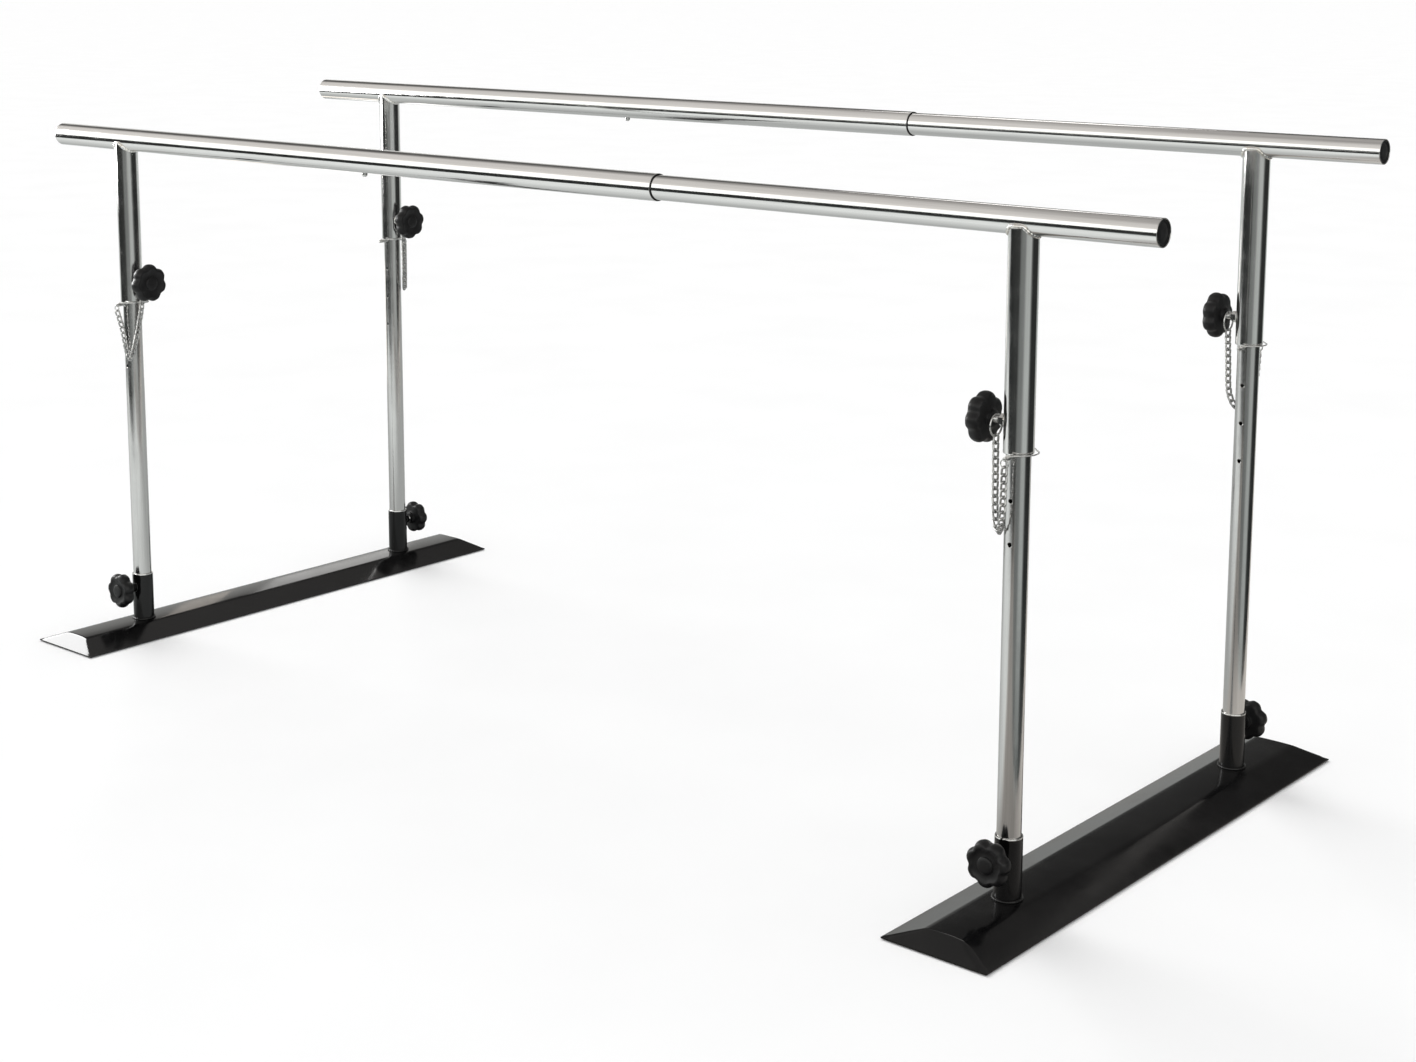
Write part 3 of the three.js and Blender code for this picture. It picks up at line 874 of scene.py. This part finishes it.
def lower_post(side, end):
    low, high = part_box(f"lower_post_{side}_{end}")
    holes = [(column, LOWEST_HOLE_Z + k * HOLE_PITCH, PIN_HOLE_R, 4)
             for k in range(4) for column in (TUBE_SIDES // 4, 3 * TUBE_SIDES // 4)]
    tube = drilled_tube(LOWER_POST_R, LOWER_POST_BORE_R, low.z, high.z, holes)
    return tube.moved(Matrix.Translation(post(side, end)))


def cope(side, end, radius, angle, over=0.0):
    """Height of the upper post's top edge where the rail's underside meets it."""
    rail = OUTER_R if end == "left" else INNER_RAIL_R
    y = radius * math.sin(angle)
    rise = math.sqrt(max(0.0, (rail + over) ** 2 - y ** 2))
    return RAIL_Z[side] - max(5 * MM, rise)


def upper_post(side, end):
    sides = 128
    steps = 8
    low = lower_end(side)
    below = RAIL_Z[side] - 24 * MM
    edge = 0.5 * MM
    mesh = Mesh()
    rows = (low + 3 * edge, below - 3 * MM)
    outer = [mesh.ring(circle(OUTER_R, z, sides)) for z in rows]
    inner = [mesh.ring(circle(UPPER_POST_BORE_R, z, sides)) for z in rows]
    for k in range(1, steps + 1):
        for radius, rings in ((OUTER_R, outer), (UPPER_POST_BORE_R, inner)):
            points = []
            for a in turns(sides):
                top = cope(side, end, radius, a)
                points.append(polar(radius, a, below + (top - below) * k / steps))
            rings.append(mesh.ring(points))
    mesh.loft(outer)
    mesh.loft(inner)
    mesh.strip(outer[-1], inner[-1])
    rolled_rim(mesh, (outer[0], inner[0]), (OUTER_R, UPPER_POST_BORE_R), low, 1, edge, sides)
    mesh.join(screw_nut_on(OUTER_R), pointing(to_x(end), (0, 0, knob_z(side))))
    return mesh.moved(Matrix.Translation(post(side, end)))


def upper_welds(side, end):
    """The bead where post meets rail, and the bead round the clamp nut."""
    at = post(side, end)
    points = []
    for a in turns(240):
        z = cope(side, end, OUTER_R, a, over=0.2 * MM)
        points.append(at + Vector(polar(OUTER_R + 0.5 * MM, a, z)))
    mesh = bead(points, BEAD_R["rail"], 30, f"rail{side}{end}")
    nut = pointing(to_x(end), at + Vector((0, 0, knob_z(side))))
    return mesh.join(nut_weld(OUTER_R, f"nut{side}{end}"), nut)


for side, end in SPOTS:
    spot = f"{side}_{end}"
    upright = spot + "_upright"
    finished("post_lower_" + spot, lower_post(side, end), end + "_stand", LOWER_STEEL,
             ["lower_post_" + spot])
    finished("post_upper_" + spot, upper_post(side, end), upright, POST_STEEL,
             ["upper_post_" + spot])
    finished("post_welds_" + spot, upper_welds(side, end), upright, WELD, angle=60)


# ---- Rails ----

def along_rail(side, direction="+X"):
    return pointing(direction, (0, RAIL_Y[side], RAIL_Z[side]))


def rail(side, radius, bore, span, hole_places):
    """A rail tube. It is made about Z with its holes on +X, and turned so that they look down."""
    holes = [(0, x, LOCK_HOLE_R, 5) for x in hole_places]
    return drilled_tube(radius, bore, *span, holes, edge=0.45 * MM).moved(along_rail(side))


def rail_cap(side, end):
    """A push-in cap with a slightly domed face, a moulded ring and a skirt."""
    bore = (OUTER_RAIL_BORE_R if end == "left" else INNER_RAIL_BORE_R) - 0.1 * MM
    low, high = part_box(f"rail_plug_{side}_{end}")
    back, face = sorted((abs(low.x), abs(high.x)))
    profile = (
        [(0, face - 3.2 * MM), (bore - 2 * MM, face - 3.2 * MM)]
        + outline(bore, back, [(-2, 0), (-0.4, 0), (0, 0.6)])
        + outline(bore, face, [(0, -1.4), (-0.3, -0.6), (-1.0, -0.15), (-2.2, -0.05),
                               (-3.2, -0.5), (-3.8, -0.5), (-4.6, -0.1)])
        + [(bore * 0.35, face), (0, face)]
    )
    return revolve(profile, 72).moved(along_rail(side, "-X" if end == "left" else "+X"))


def mouth_shade_lip(side):
    """The black lip in the outer rail's mouth, on the tube's end and close round the inner rail: painted
    shade, a dark piece that stands in for the shaded end face and gap at the mouth.
    """
    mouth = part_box("outer_rail_" + side)[1].x
    bore, outer = INNER_RAIL_R + 0.12 * MM, OUTER_R - 0.25 * MM
    inside = OUTER_RAIL_BORE_R - 0.05 * MM
    foot, seat, lip = mouth - 3 * MM, mouth + 0.02 * MM, mouth + 1.2 * MM
    profile = [(bore, foot), (inside, foot), (inside, seat), (outer, seat), (outer, lip), (bore, lip)]
    return revolve(rounded(profile, 0.3 * MM), closed=True).moved(along_rail(side))


def snap_button(side):
    """A button with a domed tip and a skirt, made about Z with its tip down."""
    tip = -OUTER_R - 5.2 * MM
    dome = 3 * MM
    profile = [(0, tip)]
    for k in range(1, 8):
        a = k / 7 * math.pi / 2
        profile.append((BUTTON_R * math.sin(a), tip + dome * (1 - math.cos(a))))
    profile += [(BUTTON_R, tip + 4.5 * MM), (BUTTON_R, -13.5 * MM)]
    profile += outline(0, 0, [(5.1, -13.4), (5.2, -13.2), (5.2, -11.6), (5.0, -11.4), (0, -11.4)])
    return revolve(profile, 40).moved(Matrix.Translation((BUTTON_X, RAIL_Y[side], RAIL_Z[side])))


for side in SIDES:
    low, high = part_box("outer_rail_" + side)
    places = [BUTTON_X + k * BUTTON_STEP for k in (-2, -1, 0, 1)]
    left, right = side + "_left_upright", side + "_right_upright"
    finished("handrail_outer_" + side, rail(side, OUTER_R, OUTER_RAIL_BORE_R, (low.x, high.x), places),
             left, RAIL_STEEL, ["outer_rail_" + side])
    # The black lip at the outer rail's mouth is painted shade for the shaded gap round the inner rail.
    finished("mouth_shade_lip_" + side, mouth_shade_lip(side), left, PLUG_PLASTIC)
    low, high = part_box("inner_rail_" + side)
    finished("handrail_inner_" + side,
             rail(side, INNER_RAIL_R, INNER_RAIL_BORE_R, (low.x, high.x), [BUTTON_X]),
             right, RAIL_STEEL, ["inner_rail_" + side])
    for end in ENDS:
        finished(f"rail_cap_{side}_{end}", rail_cap(side, end), f"{side}_{end}_upright",
                 PLUG_PLASTIC, [f"rail_plug_{side}_{end}"])
    hardware("button_" + side, snap_button(side), side + "_snap_button", "snap_button_" + side)
    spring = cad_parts["snap_spring_" + side]
    spring.data.materials.clear()
    spring.data.materials.append(PLATE)


# ---- Clamp screws and star knobs ----

def clamp_screw():
    """An M8 screw about Z with a real helical thread and a turned-down tip."""
    start = LOWER_POST_R + SCREW_GAP
    stop = start + SCREW_LENGTH
    steps, sides = 8, 28
    mesh = Mesh()
    rings = [mesh.ring([(0, 0, start)])]
    rows = int(SCREW_LENGTH / THREAD["pitch"] * steps)
    for k in range(rows + 1):
        z = start + (stop - start) * k / rows
        fade = min(1.0, (z - start) / (2 * MM), (stop - z) / (1 * MM))
        turned_down = (1 - min(1.0, (z - start) / (1.2 * MM))) * 1.0 * MM
        points = []
        for a in turns(sides):
            wave = (z / THREAD["pitch"] - a / TAU) % 1.0
            depth = THREAD["depth"] * abs(2 * wave - 1) * fade
            points.append(polar(SCREW_R - depth - turned_down, a, z))
        rings.append(mesh.ring(points))
    rings.append(mesh.ring([(0, 0, stop)]))
    mesh.loft(rings)
    return mesh


def star_knob(face, rim):
    """A seven-lobed knob about Z: collar, scalloped body, dished face and a round centre cap."""
    bore = SCREW_R + 0.35 * MM
    seat = LOWER_POST_R + SCREW_GAP + SCREW_LENGTH + GAP
    hub = 13 * MM

    def shape(r, a):
        share = min(1.0, max(0.0, (r - hub) / (rim - hub)))
        share = share * share * (3 - 2 * share)
        notch = ((1 - math.cos(KNOB_LOBES * a)) / 2) ** 1.8
        return r - KNOB_NOTCH * notch * share

    profile = [(0, seat), (bore, seat), (bore, face - 4 * MM)]
    profile += outline(0, face, [(9.4, -4), (10, -3.5), (10, -0.8), (10.4, 0.3), (11.6, 0.9), (15, 1.2)])
    profile += outline(rim, face, [(-6, 1.9)])
    out, up, middle = 5.5 * MM, 8.6 * MM, face + 10.4 * MM
    for k in range(1, 12):
        a = -math.pi / 2 + math.pi * k / 12
        profile.append((rim - out + out * math.cos(a), middle + up * math.sin(a)))
    profile += outline(rim, face, [(-6.4, 19.2), (-8.0, 18.9), (-9.4, 18.0)])
    profile += outline(0, face, [(14, 17.2), (11.2, 17.0), (10.6, 17.2), (10.3, 18.6), (9.7, 19.2),
                                 (6, 19.7), (0, 19.9)])
    return revolve(profile, 20 * KNOB_LOBES, shape=shape)


SCREW = clamp_screw()
KNOBS = {level: star_knob(KNOB_FACE[level], KNOB_RIM_R[level]) for level in KNOB_FACE}

for n, (side, end) in enumerate(SPOTS):
    spot = f"{side}_{end}"
    for level in KNOBS:
        z = knob_z(side) if level == "upper" else LOWER_KNOB_Z
        direction = to_x(end) if level == "upper" else to_y(side)
        at = pointing(direction, post(side, end) + Vector((0, 0, z)))
        turned = at @ Matrix.Rotation(0.35 + 0.7 * n, 4, "Z")
        hardware(f"clamp_screw_{level}_{spot}", Mesh().join(SCREW, at), f"{level}_screw_{spot}_body",
                 f"{level}_screw_{spot}", angle=50)
        finished(f"star_knob_{level}_{spot}", Mesh().join(KNOBS[level], turned), f"{level}_knob_{spot}_body",
                 KNOB_PLASTIC, [f"{level}_knob_{spot}"], angle=40)


# ---- Lock pins, bails and rings ----

def lock_pin():
    """The pin about +Y: rounded nose, plain shank, and a small closed eye hung in its head for the chain."""
    profile = (
        [(0, -PIN_FRONT)] + outline(PIN_R, -PIN_FRONT, [(-0.7, 0), (-0.2, 0.2), (0, 0.7), (0, 1.6)])
        + outline(PIN_R, PIN_BACK, [(0, -4), (0, -2.6), (-0.25, -1.4), (-0.9, -0.4)]) + [(0, PIN_BACK)]
    )
    pin = revolve(profile, 32).moved(pointing("+Y", (0, 0, 0)))
    radius = EYE["radius"]
    points = [(radius * math.sin(a), -EYE["from_post"], radius * (math.cos(a) - 1)) for a in turns(40)]
    return pin.join(sweep(points, EYE["wire"], closed=True))


def bail_wire():
    points = [(0, -BAIL_PIVOT, -3.4 * MM), (0, -BAIL_PIVOT, 0), (0.2 * MM, -BAIL_PIVOT, 2.4 * MM),
              (1.6 * MM, -BAIL_PIVOT, BAIL_RISE), (6 * MM, -BAIL_PIVOT + 0.8 * MM, BAIL_RISE)]
    points += [polar(BAIL_R, math.radians(degrees), BAIL_RISE) for degrees in range(-50, 61, 22)]
    points += [(5 * MM, PIN_BACK - 5 * MM, BAIL_RISE), (-3.5 * MM, PIN_BACK - 3.5 * MM, BAIL_RISE)]
    path = smooth_path(points, 130)

    def taper(share):
        return 0.8 * MM * min(1.0, 0.35 + 60 * min(share, 1 - share))

    return sweep(path, taper, sides=12)


def hanging_ring():
    points = [(0, RING_R * math.cos(a), RING_R * math.sin(a) - RING_DROP) for a in turns(64)]
    return sweep(points, RING_WIRE_R, sides=12, closed=True)


for side, end in SPOTS:
    spot = f"{side}_{end}"
    at = post(side, end)
    # Pins and bails are made for the front bar; the rear bar's are their mirror images.
    pin_at = Matrix.Translation(at + Vector((0, 0, pin_z(side)))) @ Matrix.Diagonal((1, -OUTWARD[side], 1, 1))
    ring_at = Matrix.Translation(at + Vector((INWARD[end] * RING_FROM_POST, 0, knob_z(side))))
    hardware("pin_" + spot, lock_pin().moved(pin_at), f"lock_pin_{spot}_body", "lock_pin_" + spot)
    hardware("pin_bail_" + spot, bail_wire().moved(pin_at), f"bail_{spot}_body", "bail_" + spot, angle=60)
    hardware("hanging_ring_" + spot, hanging_ring().moved(ring_at), f"ring_{spot}_body", "ring_" + spot,
             angle=60)


# ---- Floor, studio light and surroundings ----

def plane(name, corners, material):
    data = bpy.data.meshes.new(name)
    data.from_pydata(corners, [], [(0, 1, 2, 3)])
    data.materials.append(material)
    made = bpy.data.objects.new(name, data)
    bpy.context.scene.collection.objects.link(made)
    return made


def level_plane(left, right, front, back, z):
    return [(left, front, z), (right, front, z), (right, back, z), (left, back, z)]


def standing(x, top_x, front, back, low, high):
    """Corners of a card that stands on the line at x and leans so that its top is at top_x."""
    return [(x, front, low), (x, back, low), (top_x, back, high), (top_x, front, high)]


def floor_material():
    n = Material("floor")
    grain = n.noise(n.place, 3.0, 2.0)
    n.set(Base_Color=n.colours(grain, [(0.3, (0.93, 0.93, 0.93)), (0.7, (0.95, 0.95, 0.95))]),
          Roughness=0.9, Specular_IOR_Level=0.1)
    return n.material


def glow(name, colour, strength):
    n = Material(name)
    n.set(Base_Color=(0, 0, 0), Emission_Color=colour, Emission_Strength=strength)
    return n.material


def only_reflected(made):
    for ray in ("camera", "diffuse", "shadow", "transmission"):
        setattr(made, "visible_" + ray, False)


def card(name, corners, colour, strength):
    only_reflected(plane(name, corners, glow(name + "_glow", colour, strength)))


def paper_material():
    """The lit paper as the tubes see it: brightest in front of the bars and dimmer under and behind them."""
    n = Material("paper_glow")
    x, y, _ = n.add("ShaderNodeSeparateXYZ", {0: n.place}).outputs
    # Shade beside the right base, deepest at its front end and warmed by the floor beyond.
    shade = n.between(y, -0.35, 0.2, 0.42, 1.3)
    beside = n.between(x, 0.45, 0.68)
    dimmed = n.maths("SUBTRACT", 1.0, n.maths("MULTIPLY", beside, n.maths("SUBTRACT", 1.0, shade)))
    emit = n.add("ShaderNodeEmission", {
        "Color": n.colours(beside, [(0.0, (0.97, 1.0, 0.985)), (1.0, (1.0, 0.95, 0.89))]),
        "Strength": n.maths("MULTIPLY", n.between(y, -0.9, 0.1, 0.95, 0.52), dimmed),
    })
    n.put(emit.outputs[0], n.tree.nodes["Material Output"].inputs["Surface"])
    return n.material


WIDE = 150
floor = plane("floor", level_plane(-WIDE, WIDE, -WIDE, WIDE, 0), floor_material())
floor.visible_glossy = False

# The white paper under the bars as the bright tubes see it: it ends before and beside the camera.
paper = plane("paper", level_plane(-2.9, 1.25, -1.85, 3.2, -0.002), paper_material())
only_reflected(paper)

# A low white card that lights the front slope of the left base.
card("card", standing(-2.3, -1.95, -0.95, -0.1, 0.6, 1.25), (1.0, 1.0, 1.0), 14.0)

# A card behind and above the left base.
card("rear_card", level_plane(-0.98, -0.28, 1.15, 2.1, 2.2), (1.0, 0.98, 0.95), 1.7)

# Two low cards beyond the left base, which show as a tan and a grey band on its crown.
card("tan_card", standing(-1.5, -1.5, 0.27, 0.39, 0.2, 0.46), (1.0, 0.93, 0.85), 1.6)
card("grey_card", standing(-1.5, -1.5, 0.50, 0.88, 0.2, 0.46), (1.0, 0.99, 0.97), 1.7)


def studio_world():
    world = bpy.data.worlds.new("studio")
    bpy.context.scene.world = world
    world.use_nodes = True
    world.node_tree.nodes.clear()
    n = Nodes(world.node_tree)

    def az(degrees):
        """Azimuth as 0 to 1 from -180 to 180 degrees."""
        return (degrees + 180) / 360

    def el(degrees):
        """Height as 0 to 1 from straight down to straight up."""
        return (degrees + 90) / 180

    def greys(value, place, stops):
        return n.colours(value, [(place(degrees), (level,) * 3) for degrees, level in stops])

    def step(value, start, stop):
        return n.between(value, start, stop, interpolation_type="SMOOTHSTEP")

    def mixed(share, a, b, **settings):
        return n.add("ShaderNodeMix", {0: share, 6: a, 7: b}, data_type="RGBA", **settings).outputs[2]

    def lit(colour, strength):
        return n.add("ShaderNodeBackground", {"Color": colour, "Strength": strength}).outputs[0]

    def either(share, a, b):
        return n.add("ShaderNodeMixShader", {0: share, 1: a, 2: b}).outputs[0]

    place = n.add("ShaderNodeTexCoord").outputs["Generated"]
    x, y, z = n.add("ShaderNodeSeparateXYZ", {0: place}).outputs
    turn = n.maths("ADD", n.maths("DIVIDE", n.maths("ARCTAN2", y, x), TAU), 0.5)
    rise = n.maths("ADD", n.maths("DIVIDE", n.maths("ARCSINE", z), math.pi), 0.5)

    # Surroundings just below the horizon, beyond the paper, and those farther down.
    low = greys(turn, az, [(-180, 0.62), (-172, 0.58), (-163, 0.02), (-84, 0.05), (-72, 0.20), (-45, 0.24),
                           (-30, 0.50), (-3, 0.52), (10, 0.10), (20, 0.03), (66, 0.03), (82, 0.62),
                           (180, 0.66)])
    deep = greys(turn, az, [(-180, 0.6), (-100, 0.45), (-62, 0.30), (-45, 0.13), (60, 0.10), (95, 0.5),
                            (180, 0.6)])
    below = mixed(step(rise, el(-20), el(-18.5)), deep, low)
    # Walls and ceiling above the horizon: a bright wide window in front, and a dark back wall that
    # is dark almost down to the horizon on its right.
    front = greys(rise, el, [(-6.5, 1.5), (1, 1.6), (25, 1.5), (28, 0.82), (52, 0.72), (64, 0.42),
                             (90, 0.38)])
    back = greys(rise, el, [(-5, 0.9), (3, 0.85), (18, 0.75), (24, 0.14), (36, 0.10), (46, 0.40),
                            (60, 0.46), (90, 0.42)])
    dim = greys(rise, el, [(-5, 0.9), (4, 0.85), (9, 0.16), (24, 0.12), (36, 0.10), (46, 0.40),
                           (60, 0.46), (90, 0.42)])
    upper = mixed(step(y, -0.05, 0.25), front, mixed(step(turn, az(126), az(134)), dim, back))
    # The dark strip climbs above the horizon towards the camera's side.
    horizon = n.maths("MULTIPLY_ADD", step(turn, az(-150), az(-112)), el(3) - el(-0.5), el(-0.5))
    studio = mixed(n.maths("GREATER_THAN", rise, horizon), below, upper)
    warmth = n.colours(rise, [(el(-20), (0.93, 1.0, 0.98)), (el(30), (1.0, 0.965, 0.93))])
    tinted = mixed(1.0, studio, warmth, blend_type="MULTIPLY")

    white = (1.0, 1.0, 1.0)
    ray = n.add("ShaderNodeLightPath").outputs
    seen = either(ray["Is Camera Ray"], lit(white, 0.75), lit(white, 0.99))
    n.add("ShaderNodeOutputWorld", {"Surface": either(ray["Is Glossy Ray"], seen, lit(tinted, 1.0))})


def soft_sun(towards, strength, angle):
    data = bpy.data.lights.new("soft_sun", "SUN")
    data.energy = strength
    data.angle = math.radians(angle)
    light = bpy.data.objects.new("soft_sun", data)
    light.rotation_mode = "QUATERNION"
    light.rotation_quaternion = Vector(towards).to_track_quat("-Z", "Y")
    light.visible_glossy = False
    bpy.context.scene.collection.objects.link(light)


studio_world()
soft_sun((1.0, -0.3, -0.75), 1.75, 38)
bpy.context.scene.view_settings.view_transform = "Standard"
